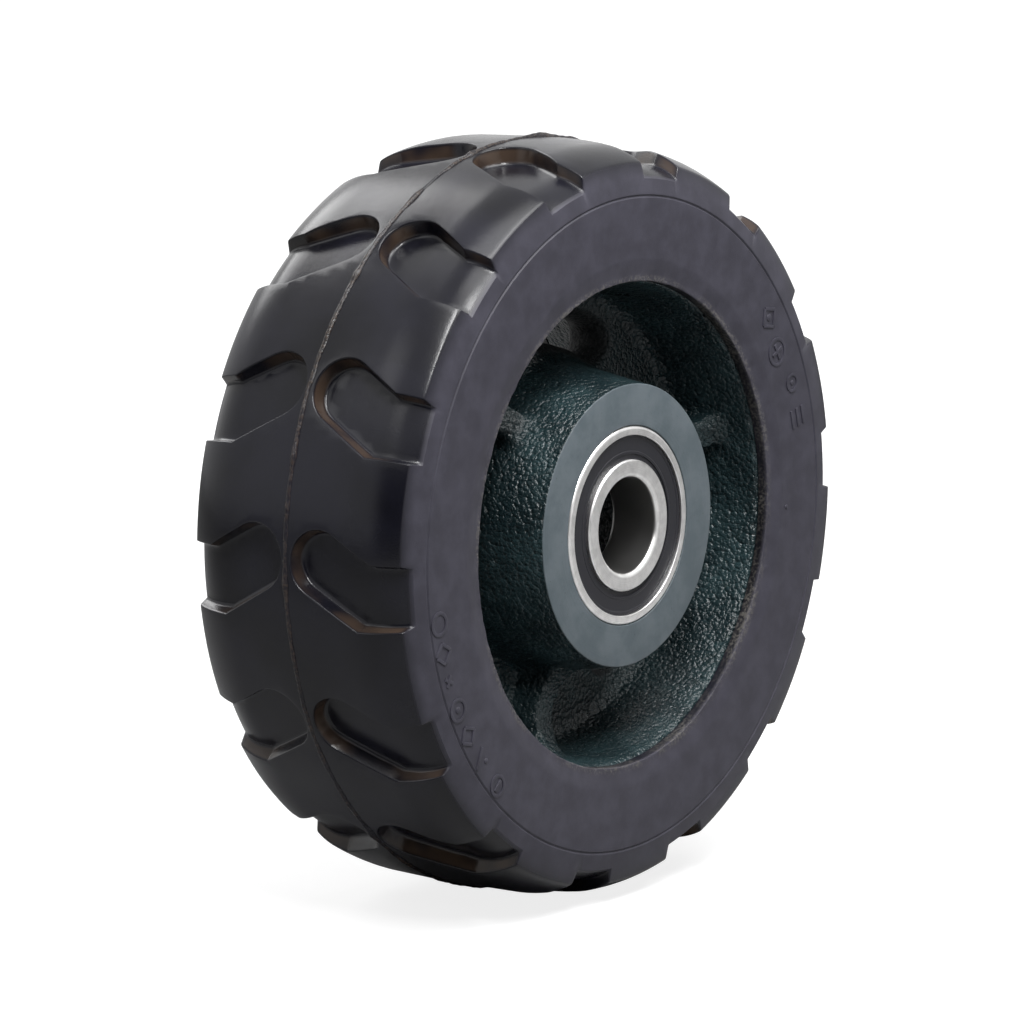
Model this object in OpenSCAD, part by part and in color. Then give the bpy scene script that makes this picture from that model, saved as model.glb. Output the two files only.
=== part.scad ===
// Solid rubber wheel for a garden cart: a rubber tyre moulded onto a cast iron
// hub that runs on two sealed ball bearings.
// The axle lies along Y, the front face looks to -Y, and the wheel's centre is
// the origin. Angles round the wheel run clockwise from the top, seen from the
// front.

/* [Tyre] */
// Diameter across the middle of the tread
tread_d = 197.6; // [190:0.2:206]
// Width of the tyre over its flat sidewalls
tyre_w = 70; // [66:0.5:74]
// Fall of the tread from its middle to the start of the shoulder
crown_drop = 0.5; // [0.2:0.1:1]
// Width of the rounded shoulder along the axle
shoulder_w = 15; // [12:0.5:17]
// Radial fall of the rounded shoulder
shoulder_drop = 4.2; // [3.5:0.1:5.2]
// Radial height of the flat side of a lug
lug_side_h = 4.1; // [3:0.1:5]
// How far the side of a lug leans back
lug_side_back = 0.9; // [0.4:0.1:1.4]
// Radial width of the bevel between the lugs and the sidewall groove
side_bevel_w = 4.5; // [3.5:0.1:5.5]
// How far that bevel falls back from the flat sidewall
side_bevel_back = 1.2; // [0.6:0.1:1.6]
// Width of the fine groove round the sidewall
groove_w = 0.8; // [0.5:0.1:1.2]
// Depth of the fine groove round the sidewall
groove_depth = 0.4; // [0.2:0.1:0.6]
// Radial width of the bevelled lip that covers the edge of the hub
lip_w = 5.7; // [4.5:0.1:7]
// How far the lip falls back from the flat sidewall at its inner edge
lip_back = 1.1; // [0.4:0.1:1.5]
// Thickness of the lip over the edge of the hub
lip_t = 3; // [2:0.1:4]
// Width of the rough moulding line round the middle of the tread
flash_w = 2; // [1:0.1:2.6]
// Height of the moulding line above the tread
flash_h = 1.2; // [0.3:0.1:1.5]

/* [Tread pattern] */
// Number of channels on each side of the tread
channels = 14; // [12:1:15]
// Angle of the first channel from the top
channel_phase = 9; // [0:0.5:12]
// Width of a channel
channel_w = 17.5; // [15:0.5:19]
// Depth of a channel in the tread
channel_depth = 4.5; // [3.5:0.1:5.5]
// Length of the straight outer run of a channel
channel_run = 11.5; // [9:0.5:14]
// Lean of the inner run of a channel
channel_lean = 29.5; // [22:0.5:34]
// Distance from the middle of the tread to the round end of a channel
channel_gap = 1.4; // [1.4:0.1:3]

/* [Hub casting] */
// Outer diameter of the hub under the rubber
hub_d = 134; // [132:0.5:140]
// Diameter of the hub's opening at its edge
opening_d = 126; // [124:0.5:128]
// Diameter of the opening where it meets the web
opening_base_d = 121; // [118:0.5:123]
// Step from the hub's opening out to the edge of the rubber lip
opening_step = 0.3; // [0.1:0.1:0.8]
// Thickness of the web
web_t = 14; // [10:0.5:18]
// Radius in the corners of the web
web_fillet = 3.5; // [2:0.5:5]
// Diameter of the boss at its faces
boss_d = 74; // [70:0.5:78]
// Diameter of the boss at the web
boss_base_d = 81; // [79:0.5:84]
// How far the boss faces lie inside the sidewalls
boss_back = 1.1; // [0.3:0.1:3]
// Chamfer on the edge of the boss faces
boss_chamfer = 0.4; // [0.2:0.1:0.8]
// Diameter of the hub's bore between the bearings
core_bore_d = 45; // [42:0.5:46]

/* [Ribs and slots] */
// Number of ribs on each side of the web, with as many slots between them
ribs = 3; // [2:1:4]
// Angle of the first rib from the top
rib_phase = 74; // [50:0.5:90]
// Thickness of a rib
rib_t = 8; // [6:0.5:10]
// Radius of the hollow in the edge of a rib
rib_hollow_r = 14; // [12.5:0.1:15]
// Depth of the centre of that hollow below the boss face
rib_hollow_depth = 3.5; // [2:0.1:5]
// Width of a slot through the web
slot_w = 13.5; // [10:0.5:15]
// Diameter of the middle line of the slots
slot_mid_d = 97.5; // [96:0.5:99]
// Angle from the middle of a slot to the centre of each round end
slot_half_angle = 13; // [6:1:18]

/* [Bearings] */
// Bore of the inner rings, which takes the axle
bearing_bore = 25; // [22:0.5:26]
// Outer diameter of the bearings
bearing_od = 52; // [51:0.5:54]
// Width of a bearing
bearing_w = 15; // [14:0.5:17]
// How far a bearing stands out of its seat in the boss
bearing_proud = 0.2; // [0:0.1:0.5]
// Rounding at the ends of the bore
bore_round = 1.3; // [0.8:0.1:1.6]
// Rounding of the outer ring's outer corners
ring_round = 0.9; // [0.5:0.1:1.2]
// Outer diameter of the inner rings
inner_land_d = 34.4; // [34:0.1:34.8]
// Inner diameter of the outer rings beside the track
outer_land_d = 43.7; // [43.4:0.1:44.2]
// Number of balls in a bearing
balls = 9; // [7:1:9]
// Diameter of a ball
ball_d = 7.94; // [7:0.02:8]
// Radial clearance between a ball and each track
ball_gap = 0.02; // [0.02:0.01:0.05]
// Radius of the tracks over the radius of a ball
track_ratio = 1.035; // [1.03:0.005:1.06]
// Thickness of the cage strip
cage_t = 0.7; // [0.5:0.05:0.8]
// Radial width of the cage strip
cage_w = 3.2; // [2.4:0.1:3.4]
// Clearance between a ball and its cage pocket
cage_gap = 0.12; // [0.08:0.02:0.2]
// Diameter of a cage rivet
rivet_d = 1.2; // [0.8:0.1:1.4]
// Diameter of a rivet head
rivet_head_d = 2; // [1.6:0.1:2.4]
// Height of a rivet head
rivet_head_h = 0.35; // [0.2:0.05:0.5]

/* [Seals] */
// Thickness of a seal
seal_t = 1.2; // [1:0.05:1.4]
// Depth of the seal's face in the bearing
seal_depth = 0.8; // [0.5:0.05:0.9]
// Diameter of the mouth in front of the seal
seal_mouth_d = 47.2; // [46.6:0.1:47.4]
// Diameter of the groove that holds the seal
seal_groove_d = 48; // [47.6:0.1:48.4]
// Radial width of the seal's thin lip
seal_lip_w = 1.4; // [1:0.1:1.8]
// Step down from the seal's face to its lip
seal_lip_step = 0.35; // [0.2:0.05:0.6]
// Running clearance between the lip and the inner ring
seal_gap = 0.05; // [0.02:0.01:0.1]

/* [Hidden] */
$fn = 96;
ARC_STEPS = 6;
CUT = 1;

SIDES = ["front", "rear"];
BEARING_PARTS = ["outer_ring", "inner_ring", "outer_seal", "inner_seal",
                 "cage_outer_half", "cage_inner_half", "cage_rivets"];

// Tyre radii and half widths, from the middle of the tread to the lip
tread_r = tread_d / 2;
side_z = tyre_w / 2;
groove_mid_r = tread_r - crown_drop - shoulder_drop - lug_side_h - side_bevel_w;
bevel_top = [groove_mid_r + side_bevel_w, side_z - side_bevel_back];
lug_edge = [bevel_top[0] + lug_side_h, bevel_top[1] - lug_side_back];
shoulder_start = [tread_r - crown_drop, lug_edge[1] - shoulder_w];
lip_inner_r = opening_d / 2 + opening_step;
lip_outer_r = lip_inner_r + lip_w;
lip_z = side_z - lip_back;
hub_edge_z = lip_z - lip_t;

// Channel in the tread
channel_bend_z = side_z - channel_run;
channel_end_z = channel_gap + channel_w / 2;
channel_end_x = (channel_bend_z - channel_end_z) * tan(channel_lean);

// Hub
boss_z = side_z - boss_back;
bearing_z = boss_z + bearing_proud - bearing_w / 2;
seat_z = bearing_z - bearing_w / 2;

// Bearing
pitch_r = (inner_land_d + outer_land_d) / 4;
ball_r = ball_d / 2;
track_r = ball_r * track_ratio;
inner_track_r = pitch_r - ball_r - ball_gap;
outer_track_r = pitch_r + ball_r + ball_gap;
pocket_r = ball_r + cage_gap;
seal_z = bearing_w / 2 - seal_depth;
ball_step = 360 / balls;

// Points on an arc about centre, from one angle to another
function arc(centre, r, from, to) =
    [for (i = [0:ARC_STEPS]) let (a = from + (to - from) * i / ARC_STEPS) centre + r * [cos(a), sin(a)]];

// An arc that leaves the point start along the axle and falls to the point end
function falling_arc(start, end) =
    let (turn = 2 * atan((start[0] - end[0]) / (end[1] - start[1])),
         r = (end[1] - start[1]) / sin(turn))
    arc([start[0] - r, start[1]], r, 0, turn);

// A half outline and its mirror image across the wheel's middle plane
function both_halves(half) =
    concat(half, [for (i = [len(half) - 1:-1:0]) [half[i][0], -half[i][1]]]);

// Lays a shape built along +Z, front side up, onto the wheel's axle
module on_axle() { rotate([90, 0, 0]) children(); }

// Turns a shape that sits at the top of the wheel round to an angle
module at_angle(a) { rotate([0, 0, -a]) children(); }

// The tyre's section without the channels
module tyre_section() {
    half = concat(
        [[tread_r + flash_h, flash_w / 4], [tread_r, flash_w / 2]],
        falling_arc(shoulder_start, lug_edge),
        [bevel_top,
         [groove_mid_r + groove_w / 2, side_z - side_bevel_back * groove_w / 2 / side_bevel_w],
         [groove_mid_r, side_z - groove_depth],
         [groove_mid_r - groove_w / 2, side_z],
         [lip_outer_r, side_z],
         [lip_inner_r, lip_z],
         [lip_inner_r, hub_edge_z],
         [hub_d / 2, hub_edge_z]]
    );
    polygon(both_halves(half));
}

// The space above the channel floors, which reach the top of the side bevel
module above_floors() {
    floor_start = [tread_r - crown_drop - channel_depth, channel_bend_z];
    floor_arc = falling_arc(floor_start, bevel_top);
    outside = tread_r + flash_h + CUT;
    half = concat(
        [[tread_r - channel_depth, 0]], floor_arc,
        [[bevel_top[0], side_z + CUT], [outside, side_z + CUT]]
    );
    rotate_extrude() polygon(both_halves(half));
}

// One channel seen from outside: a round end, a leaning run and a straight run
module channel_outline() {
    half_w = channel_w / 2;
    mitre = half_w * tan(channel_lean / 2);
    bend = [0, channel_bend_z];
    mouth_z = side_z + CUT;
    polygon(concat(
        arc([channel_end_x, channel_end_z], half_w, channel_lean - 180, channel_lean - 90),
        arc([channel_end_x, channel_end_z], half_w, channel_lean - 90, channel_lean),
        [bend + [half_w, mitre], [half_w, mouth_z], [-half_w, mouth_z], bend - [half_w, mitre]]
    ));
}

module channel_cutters() {
    for (side = [0, 1], i = [0:channels - 1])
        mirror([0, 0, side]) at_angle(channel_phase + i * 360 / channels)
            translate([0, tread_r + flash_h + CUT, 0]) rotate([90, 0, 0])
                linear_extrude(channel_depth + crown_drop + shoulder_drop + lug_side_h + flash_h + CUT)
                    channel_outline();
}

module tyre() {
    color([0.10, 0.10, 0.11]) on_axle() difference() {
        rotate_extrude() tyre_section();
        intersection() {
            channel_cutters();
            above_floors();
        }
    }
}

// The hub's section: rim, web and boss, with rounded web corners
module hub_section() {
    web_z = web_t / 2;
    outer_corner = [opening_base_d / 2 - web_fillet, web_z + web_fillet];
    inner_corner = [boss_base_d / 2 + web_fillet, web_z + web_fillet];
    half = concat(
        [[core_bore_d / 2, seat_z], [bearing_od / 2, seat_z],
         [bearing_od / 2, boss_z], [boss_d / 2 - boss_chamfer, boss_z],
         [boss_d / 2, boss_z - boss_chamfer]],
        arc(inner_corner, web_fillet, 180, 270),
        arc(outer_corner, web_fillet, 270, 360),
        [[opening_d / 2, hub_edge_z], [hub_d / 2, hub_edge_z]]
    );
    polygon(both_halves(half));
}

// A rib at the top of the wheel: a wall from boss to rim with a hollow edge
module rib() {
    inner = boss_d / 2 - CUT;
    outer = opening_d / 2;
    hollow_z = boss_z - rib_hollow_depth;
    difference() {
        translate([-rib_t / 2, inner, 0]) cube([rib_t, outer - inner, hollow_z]);
        translate([0, (boss_d + opening_d) / 4, hollow_z]) rotate([0, 90, 0])
            cylinder(h = rib_t + 2 * CUT, r = rib_hollow_r, center = true);
    }
}

// A curved slot through the web at the top of the wheel
module slot() {
    mid_r = slot_mid_d / 2;
    rotate([0, 0, 90 - slot_half_angle]) rotate_extrude(angle = 2 * slot_half_angle)
        translate([mid_r - slot_w / 2, -web_t]) square([slot_w, 2 * web_t]);
    for (end = [-1, 1])
        at_angle(end * slot_half_angle) translate([0, mid_r, 0])
            cylinder(h = 2 * web_t, d = slot_w, center = true);
}

module hub() {
    color([0.12, 0.20, 0.20]) on_axle() difference() {
        union() {
            rotate_extrude() hub_section();
            for (side = [0, 1], i = [0:ribs - 1])
                mirror([0, 0, side]) at_angle(rib_phase + i * 360 / ribs) rib();
        }
        for (i = [0:ribs - 1])
            at_angle(rib_phase - 180 / ribs + i * 360 / ribs) slot();
    }
}

// Puts a bearing part, built about the bearing's own middle plane with its
// outward side up, into the front or the rear of the hub
module in_bearing(side) {
    on_axle() mirror([0, 0, side == "front" ? 0 : 1]) translate([0, 0, bearing_z]) children();
}

module steel() { color([0.80, 0.81, 0.83]) children(); }

// A ring whose section is given and whose ball track is a groove of its own
module tracked_ring(track_centre_r) {
    difference() {
        rotate_extrude() children();
        rotate_extrude() translate([track_centre_r, 0]) circle(track_r);
    }
}

module outer_ring(side) {
    z = bearing_w / 2;
    groove_end = seal_z - seal_t;
    half = concat(
        [[outer_land_d / 2, groove_end], [seal_groove_d / 2, groove_end], [seal_groove_d / 2, seal_z],
         [seal_mouth_d / 2, seal_z], [seal_mouth_d / 2, z]],
        arc([bearing_od / 2 - ring_round, z - ring_round], ring_round, 90, 0)
    );
    steel() in_bearing(side) tracked_ring(outer_track_r - track_r) polygon(both_halves(half));
}

module inner_ring(side) {
    z = bearing_w / 2;
    edge = bore_round / 3;
    half = concat(
        [[inner_land_d / 2, z - edge], [inner_land_d / 2 - edge, z]],
        arc([bearing_bore / 2 + bore_round, z - bore_round], bore_round, 90, 180)
    );
    steel() in_bearing(side) tracked_ring(inner_track_r + track_r) polygon(both_halves(half));
}

// A rubber seal held in the outer ring; it wipes the inner ring with a thin lip
module seal(side, outward) {
    lip_r = inner_land_d / 2 + seal_gap;
    low = seal_z - seal_t;
    color([0.20, 0.20, 0.22]) in_bearing(side) mirror([0, 0, outward ? 0 : 1]) rotate_extrude()
        polygon([
            [lip_r, low], [seal_groove_d / 2, low], [seal_groove_d / 2, seal_z],
            [lip_r + seal_lip_w, seal_z], [lip_r + seal_lip_w, seal_z - seal_lip_step],
            [lip_r, seal_z - seal_lip_step]
        ]);
}

// Centres of the balls; the rear bearing is half a step round from the front
function ball_angle(side, i) = (i + (side == "front" ? 0 : 0.5)) * ball_step;

module at_ball(side, i) { at_angle(ball_angle(side, i)) translate([0, pitch_r, 0]) children(); }

module at_rivet(side, i) { at_ball(side, i + 0.5) children(); }

// Half of the pressed cage: a flat strip that cups over each ball
module cage_half(side, outward) {
    steel() in_bearing(side) mirror([0, 0, outward ? 0 : 1]) difference() {
        intersection() {
            union() {
                cylinder(h = cage_t, r = pitch_r + cage_w);
                for (i = [1:balls]) at_ball(side, i) sphere(pocket_r + cage_t);
            }
            rotate_extrude() translate([pitch_r - cage_w / 2, 0]) square([cage_w, pocket_r + cage_t + CUT]);
        }
        for (i = [1:balls]) {
            at_ball(side, i) sphere(pocket_r);
            at_rivet(side, i) cylinder(h = 2 * cage_t + CUT, d = rivet_d, center = true);
        }
    }
}

module cage_rivets(side) {
    steel() in_bearing(side) for (i = [1:balls]) at_rivet(side, i) {
        cylinder(h = 2 * cage_t, d = rivet_d, center = true);
        for (end = [0, 1]) mirror([0, 0, end]) translate([0, 0, cage_t])
            cylinder(h = rivet_head_h, d = rivet_head_d);
    }
}

module ball(side, i) { color([0.88, 0.89, 0.90]) in_bearing(side) at_ball(side, i) sphere(ball_r); }

tyre();
hub();
for (side = SIDES) {
    outer_ring(side);
    inner_ring(side);
    seal(side, true);
    seal(side, false);
    cage_half(side, true);
    cage_half(side, false);
    cage_rivets(side);
    for (i = [1:balls])
        ball(side, i);
}
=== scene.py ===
# %% [markdown]
# # A solid rubber wheel
# A cart wheel of this kind is a black rubber tyre moulded onto a cast iron hub, with a sealed
# ball bearing pressed into each side of the hub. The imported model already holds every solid
# part at its real size. This lesson adds what a camera sees: rounded mould edges, sand-cast
# iron under paint, ground steel, and dull rubber with a ragged moulding line.

# %% Load the fixed frame
import math
from collections import namedtuple

import bmesh
import bpy
import numpy as np
from mathutils import Matrix, Vector, noise


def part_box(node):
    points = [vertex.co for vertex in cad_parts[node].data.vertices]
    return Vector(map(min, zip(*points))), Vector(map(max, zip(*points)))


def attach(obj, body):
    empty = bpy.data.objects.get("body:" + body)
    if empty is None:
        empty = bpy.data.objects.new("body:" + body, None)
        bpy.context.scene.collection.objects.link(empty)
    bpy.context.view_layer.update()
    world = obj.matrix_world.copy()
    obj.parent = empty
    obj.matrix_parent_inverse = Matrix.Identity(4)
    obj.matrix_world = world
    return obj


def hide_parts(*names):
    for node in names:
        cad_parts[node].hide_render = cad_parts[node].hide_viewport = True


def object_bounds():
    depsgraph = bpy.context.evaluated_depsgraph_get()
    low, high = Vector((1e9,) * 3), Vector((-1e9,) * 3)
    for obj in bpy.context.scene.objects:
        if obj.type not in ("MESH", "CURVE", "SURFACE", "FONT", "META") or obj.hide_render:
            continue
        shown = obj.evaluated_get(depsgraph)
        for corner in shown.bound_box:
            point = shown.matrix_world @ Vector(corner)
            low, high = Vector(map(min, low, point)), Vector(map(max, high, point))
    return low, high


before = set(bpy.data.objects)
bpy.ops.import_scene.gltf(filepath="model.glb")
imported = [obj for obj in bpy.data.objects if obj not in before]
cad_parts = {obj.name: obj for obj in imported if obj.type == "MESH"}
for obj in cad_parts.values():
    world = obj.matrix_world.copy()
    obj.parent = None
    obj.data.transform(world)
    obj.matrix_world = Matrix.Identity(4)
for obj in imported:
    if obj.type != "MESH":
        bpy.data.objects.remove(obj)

cad_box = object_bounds()

# %% [markdown]
# ## Driving sizes
# Blender works in metres, and a maker of wheels thinks in millimetres, so `MM` turns one into
# the other. The rest are the sizes of the rubber mould and the hub casting, written once here
# and used by every step below.

# %% Sizes of the tyre
MM = 0.001
tyre_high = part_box("tyre")[1]
SIDE_Y = tyre_high.y
FLASH_H = 1.2 * MM
TREAD_R = tyre_high.z - FLASH_H
CROWN_DROP = 0.5 * MM
SHOULDER_W = 15 * MM
SHOULDER_DROP = 4.2 * MM
LUG_SIDE_H = 4.1 * MM
LUG_SIDE_BACK = 0.9 * MM
BEVEL_W = 4.5 * MM
BEVEL_BACK = 1.2 * MM
GROOVE_W = 0.8 * MM
GROOVE_DEPTH = 0.4 * MM
LIP_W = 5.7 * MM
LIP_BACK = 1.1 * MM
LIP_T = 3 * MM
MARK_H = 0.3 * MM

lug_edge_r = TREAD_R - CROWN_DROP - SHOULDER_DROP
bevel_top_r = lug_edge_r - LUG_SIDE_H
groove_r = bevel_top_r - BEVEL_W
print("tread radius %.1f mm, groove radius %.1f mm" % (TREAD_R / MM, groove_r / MM))

# %% Sizes of the tread pattern
CHANNELS = 14
CHANNEL_PHASE = math.radians(9)
CHANNEL_W = 17.5 * MM
CHANNEL_DEPTH = 4.5 * MM
CHANNEL_RUN = 11.5 * MM
CHANNEL_LEAN = math.radians(29.5)
CHANNEL_GAP = 1.4 * MM
pitch_angle = 2 * math.pi / CHANNELS
pitch = pitch_angle * TREAD_R

# %% Sizes of the hub and the bearings
hub_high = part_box("hub")[1]
ring_low, ring_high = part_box("front_outer_ring")
HUB_R = hub_high.x
BOSS_Y = hub_high.y
RING_R = ring_high.x
RING_Y = -ring_low.y
RING_W = ring_high.y - ring_low.y
OPENING_R = 63 * MM
OPENING_STEP = 0.3 * MM
BOSS_R = 37 * MM
BORE_R = 12.5 * MM
lip_inner_r = OPENING_R + OPENING_STEP
print("hub radius %.1f mm, boss face at %.1f mm" % (HUB_R / MM, BOSS_Y / MM))

# %% [markdown]
# ## Camera
# The picture is taken with a long lens from a metre and a half away, a little above the axle
# and well to the side, so the front face and the tread share the frame. The wheel's centre
# sits a few millimetres off the line of sight, which the aim point takes care of.

# %% Camera
IMAGE_PX = 1024
SENSOR = 36.0
VIEW_AZIMUTH = math.radians(-52.81)
VIEW_ELEVATION = math.radians(9.46)
VIEW_DISTANCE = 1.496
FOCAL_PX = 5697.0
AIM_LEFT = 3.15 * MM
AIM_UP = 0.13 * MM


def view_axes(azimuth, elevation):
    """The directions back to the camera, to its right and up, for a level camera."""
    back = Vector((math.sin(azimuth) * math.cos(elevation),
                   -math.cos(azimuth) * math.cos(elevation),
                   math.sin(elevation)))
    right = Vector((math.cos(azimuth), math.sin(azimuth), 0))
    return back, right, back.cross(right)


view_back, view_right, view_up = view_axes(VIEW_AZIMUTH, VIEW_ELEVATION)
camera_data = bpy.data.cameras.new("camera")
camera_data.sensor_width = SENSOR
camera_data.lens = FOCAL_PX / IMAGE_PX * SENSOR
camera = bpy.data.objects.new("camera", camera_data)
bpy.context.scene.collection.objects.link(camera)
aim = -AIM_LEFT * view_right + AIM_UP * view_up
turn = Matrix((view_right, view_up, view_back)).transposed().to_4x4()
camera.matrix_world = Matrix.Translation(aim + VIEW_DISTANCE * view_back) @ turn
bpy.context.scene.camera = camera
print("camera at", [round(c, 3) for c in camera.matrix_world.translation])

# %% [markdown]
# ## A small helper for materials
# Shader maths is easier to read as arithmetic. `Value` wraps a node's output, so that
# `1 - mask` or `edge * 0.5` adds the Math nodes by itself. `Finish` holds one material, and
# its `node` method makes any other node from its type, its settings and its inputs.

# %% Shader helper
class Value:
    """A node's output that takes part in arithmetic."""

    def __init__(self, finish, socket):
        self.finish, self.socket = finish, socket

    def _math(self, operation, *values):
        return self.finish.node("ShaderNodeMath", {"operation": operation}, values)

    def __add__(self, other):
        return self._math("ADD", self, other)

    def __radd__(self, other):
        return self._math("ADD", other, self)

    def __sub__(self, other):
        return self._math("SUBTRACT", self, other)

    def __rsub__(self, other):
        return self._math("SUBTRACT", other, self)

    def __mul__(self, other):
        return self._math("MULTIPLY", self, other)

    def __rmul__(self, other):
        return self._math("MULTIPLY", other, self)

    def __truediv__(self, other):
        return self._math("DIVIDE", self, other)

    def __abs__(self):
        return self._math("ABSOLUTE", self)


class Finish:
    """One material under construction, with its Principled shader."""

    def __init__(self, name, **constants):
        self.material = bpy.data.materials.new(name)
        self.material.use_nodes = True
        self.tree = self.material.node_tree
        self.shader = self.tree.nodes["Principled BSDF"]
        for socket, value in constants.items():
            self.shader.inputs[socket.replace("_", " ")].default_value = value

    def node(self, kind, settings=None, inputs=(), output=0):
        """Adds a node: its settings first, then its inputs by place or by name."""
        made = self.tree.nodes.new(kind)
        for key, value in (settings or {}).items():
            if key == "stops":
                self._set_stops(made.color_ramp, value)
            else:
                setattr(made, key, value)
        for place, value in inputs.items() if isinstance(inputs, dict) else enumerate(inputs):
            self._feed(made.inputs[place], value)
        return Value(self, made.outputs[output])

    def _set_stops(self, ramp, stops):
        while len(ramp.elements) < len(stops):
            ramp.elements.new(1)
        for element, (place, level) in zip(ramp.elements, stops):
            element.position = place
            element.color = (level, level, level, 1)

    def _feed(self, socket, value):
        if isinstance(value, Value):
            self.tree.links.new(value.socket, socket)
        else:
            socket.default_value = value

    def feed(self, inputs):
        """Links values to the shader's own sockets."""
        for name, value in inputs.items():
            self._feed(self.shader.inputs[name], value)

    def place(self):
        """The point of the surface in the wheel's own frame."""
        return self.node("ShaderNodeTexCoord", output="Object")

    def grain(self, size, detail=2.0, roughness=0.5, where=None):
        """Soft noise from 0 to 1 whose blobs are about size metres across."""
        inputs = {"Vector": where or self.place(), "Scale": 1 / size, "Detail": detail,
                  "Roughness": roughness}
        return self.node("ShaderNodeTexNoise", None, inputs, "Fac")

    def between(self, value, low, high):
        """0 below low, 1 above high and smooth in between."""
        settings = {"interpolation_type": "SMOOTHSTEP", "clamp": True}
        return self.node("ShaderNodeMapRange", settings, (value, low, high, 0.0, 1.0))

    def mix(self, mask, first, second):
        """The first colour where the mask is 0 and the second where it is 1."""
        return self.node("ShaderNodeMix", {"data_type": "RGBA"}, {0: mask, 6: first, 7: second}, 2)

    def attribute(self, name):
        """A number kept on the mesh's own points."""
        return self.node("ShaderNodeAttribute", {"attribute_name": name}, output="Fac")

    def axial(self):
        """Distance from the wheel's middle plane."""
        return abs(self.node("ShaderNodeSeparateXYZ", None, (self.place(),), "Y"))

    def radius(self):
        """Distance from the axle's centre line."""
        flat = self.node("ShaderNodeVectorMath", {"operation": "MULTIPLY"}, (self.place(), (1, 0, 1)))
        return self.node("ShaderNodeVectorMath", {"operation": "LENGTH"}, (flat,), "Value")

    def bump(self, height, distance, strength=1.0, under=None):
        """Turns a height from 0 to 1 into a surface normal, on top of another one if given."""
        inputs = {"Strength": strength, "Distance": distance, "Height": height}
        if under:
            inputs["Normal"] = under
        return self.node("ShaderNodeBump", None, inputs)


def shade(red, green, blue):
    """A colour as it shows on a screen, from 0 to 255, turned into the light that a shader mixes."""
    light = [((c / 255 + 0.055) / 1.055) ** 2.4 if c > 10 else c / 255 / 12.92 for c in (red, green, blue)]
    return (*light, 1)


# %% [markdown]
# ## The tyre's section
# A tyre mould is turned on a lathe before its pattern is cut, so the tyre starts from one
# section. We write its corners once, with the size of the rounding that the mould leaves on
# each, and measure the distance `s` along it. The round shoulder is a true arc. A spin of
# this section alone would give a bald tyre, so the same section is kept as a rule instead:
# any flat sheet can be laid onto it by its `s`.

# %% Section of the tyre
SHOULDER_STEPS = 9
ROUND_STEPS = 3
Corner = namedtuple("Corner", "radius y rounding")


def falling_arc(start, end, steps):
    """Corners on an arc that leaves start along the axle and falls to end."""
    turn = 2 * math.atan2(start[0] - end[0], end[1] - start[1])
    bend = (end[1] - start[1]) / math.sin(turn)
    return [Corner(start[0] - bend + bend * math.cos(turn * i / steps),
                   start[1] + bend * math.sin(turn * i / steps), 0) for i in range(steps + 1)]


def rounded(corners):
    """The corners as plain points, each sharp one replaced by a short curve."""
    points = []
    for i, corner in enumerate(corners):
        here = Vector(corner[:2])
        if not corner.rounding:
            points.append(here)
            continue
        before = (Vector(corners[i - 1][:2]) - here).normalized() * corner.rounding + here
        after = (Vector(corners[i + 1][:2]) - here).normalized() * corner.rounding + here
        for step in range(ROUND_STEPS + 1):
            t = step / ROUND_STEPS
            points.append(before.lerp(here, t).lerp(here.lerp(after, t), t))
    return points


wall_y = SIDE_Y - MARK_H
lug_edge_y = SIDE_Y - BEVEL_BACK - LUG_SIDE_BACK
shoulder = (TREAD_R - CROWN_DROP, lug_edge_y - SHOULDER_W)
lug_edge = (lug_edge_r, lug_edge_y)
bevel_top = (bevel_top_r, SIDE_Y - BEVEL_BACK)
lip_y = SIDE_Y - LIP_BACK
half_groove = GROOVE_W / 2
section = rounded(
    [Corner(TREAD_R, 0, 0), Corner(TREAD_R, 4 * MM, 0), *falling_arc(shoulder, lug_edge, SHOULDER_STEPS)[:-1],
     Corner(*lug_edge, 0.7 * MM), Corner(*bevel_top, 0)])
bevel_count = len(section) - 1
section += rounded(
    [Corner(*bevel_top, 0), Corner(groove_r + 2 * half_groove, wall_y - 0.1 * MM, 0),
     Corner(groove_r + half_groove, wall_y - 0.05 * MM, 0.1 * MM),
      Corner(groove_r, wall_y - GROOVE_DEPTH, 0.1 * MM),
     Corner(groove_r - half_groove, wall_y, 0.1 * MM), Corner(80 * MM, wall_y, 0), Corner(74 * MM, wall_y, 0),
     Corner(lip_inner_r + LIP_W, wall_y, 0.8 * MM), Corner(67 * MM, wall_y - 0.35 * MM, 0),
     Corner(65.6 * MM, wall_y - 0.6 * MM, 0), Corner(64.4 * MM, lip_y + 0.1 * MM, 0),
     Corner(lip_inner_r, lip_y, 0.5 * MM), Corner(lip_inner_r, lip_y - 1.5 * MM, 0),
     Corner(lip_inner_r, lip_y - LIP_T, 0), Corner(HUB_R, lip_y - LIP_T, 0), Corner(HUB_R, 0, 0)])[1:]

gaps = [(b - a).length for a, b in zip(section, section[1:])]
along = np.concatenate([[0], np.cumsum(gaps)])
section_r = np.array([p.x for p in section])
section_y = np.array([p.y for p in section])
s_bevel, s_end = along[bevel_count], along[-1]

floor_start = (shoulder[0] - CHANNEL_DEPTH, SIDE_Y - CHANNEL_RUN)
channel_floor = [Corner(TREAD_R - CHANNEL_DEPTH, 0, 0), *falling_arc(floor_start, bevel_top, SHOULDER_STEPS)]
floor_r = [c.radius for c in channel_floor]
floor_y = [c.y for c in channel_floor]
print("section of %d points, %.1f mm long" % (len(section), s_end / MM))

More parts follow.
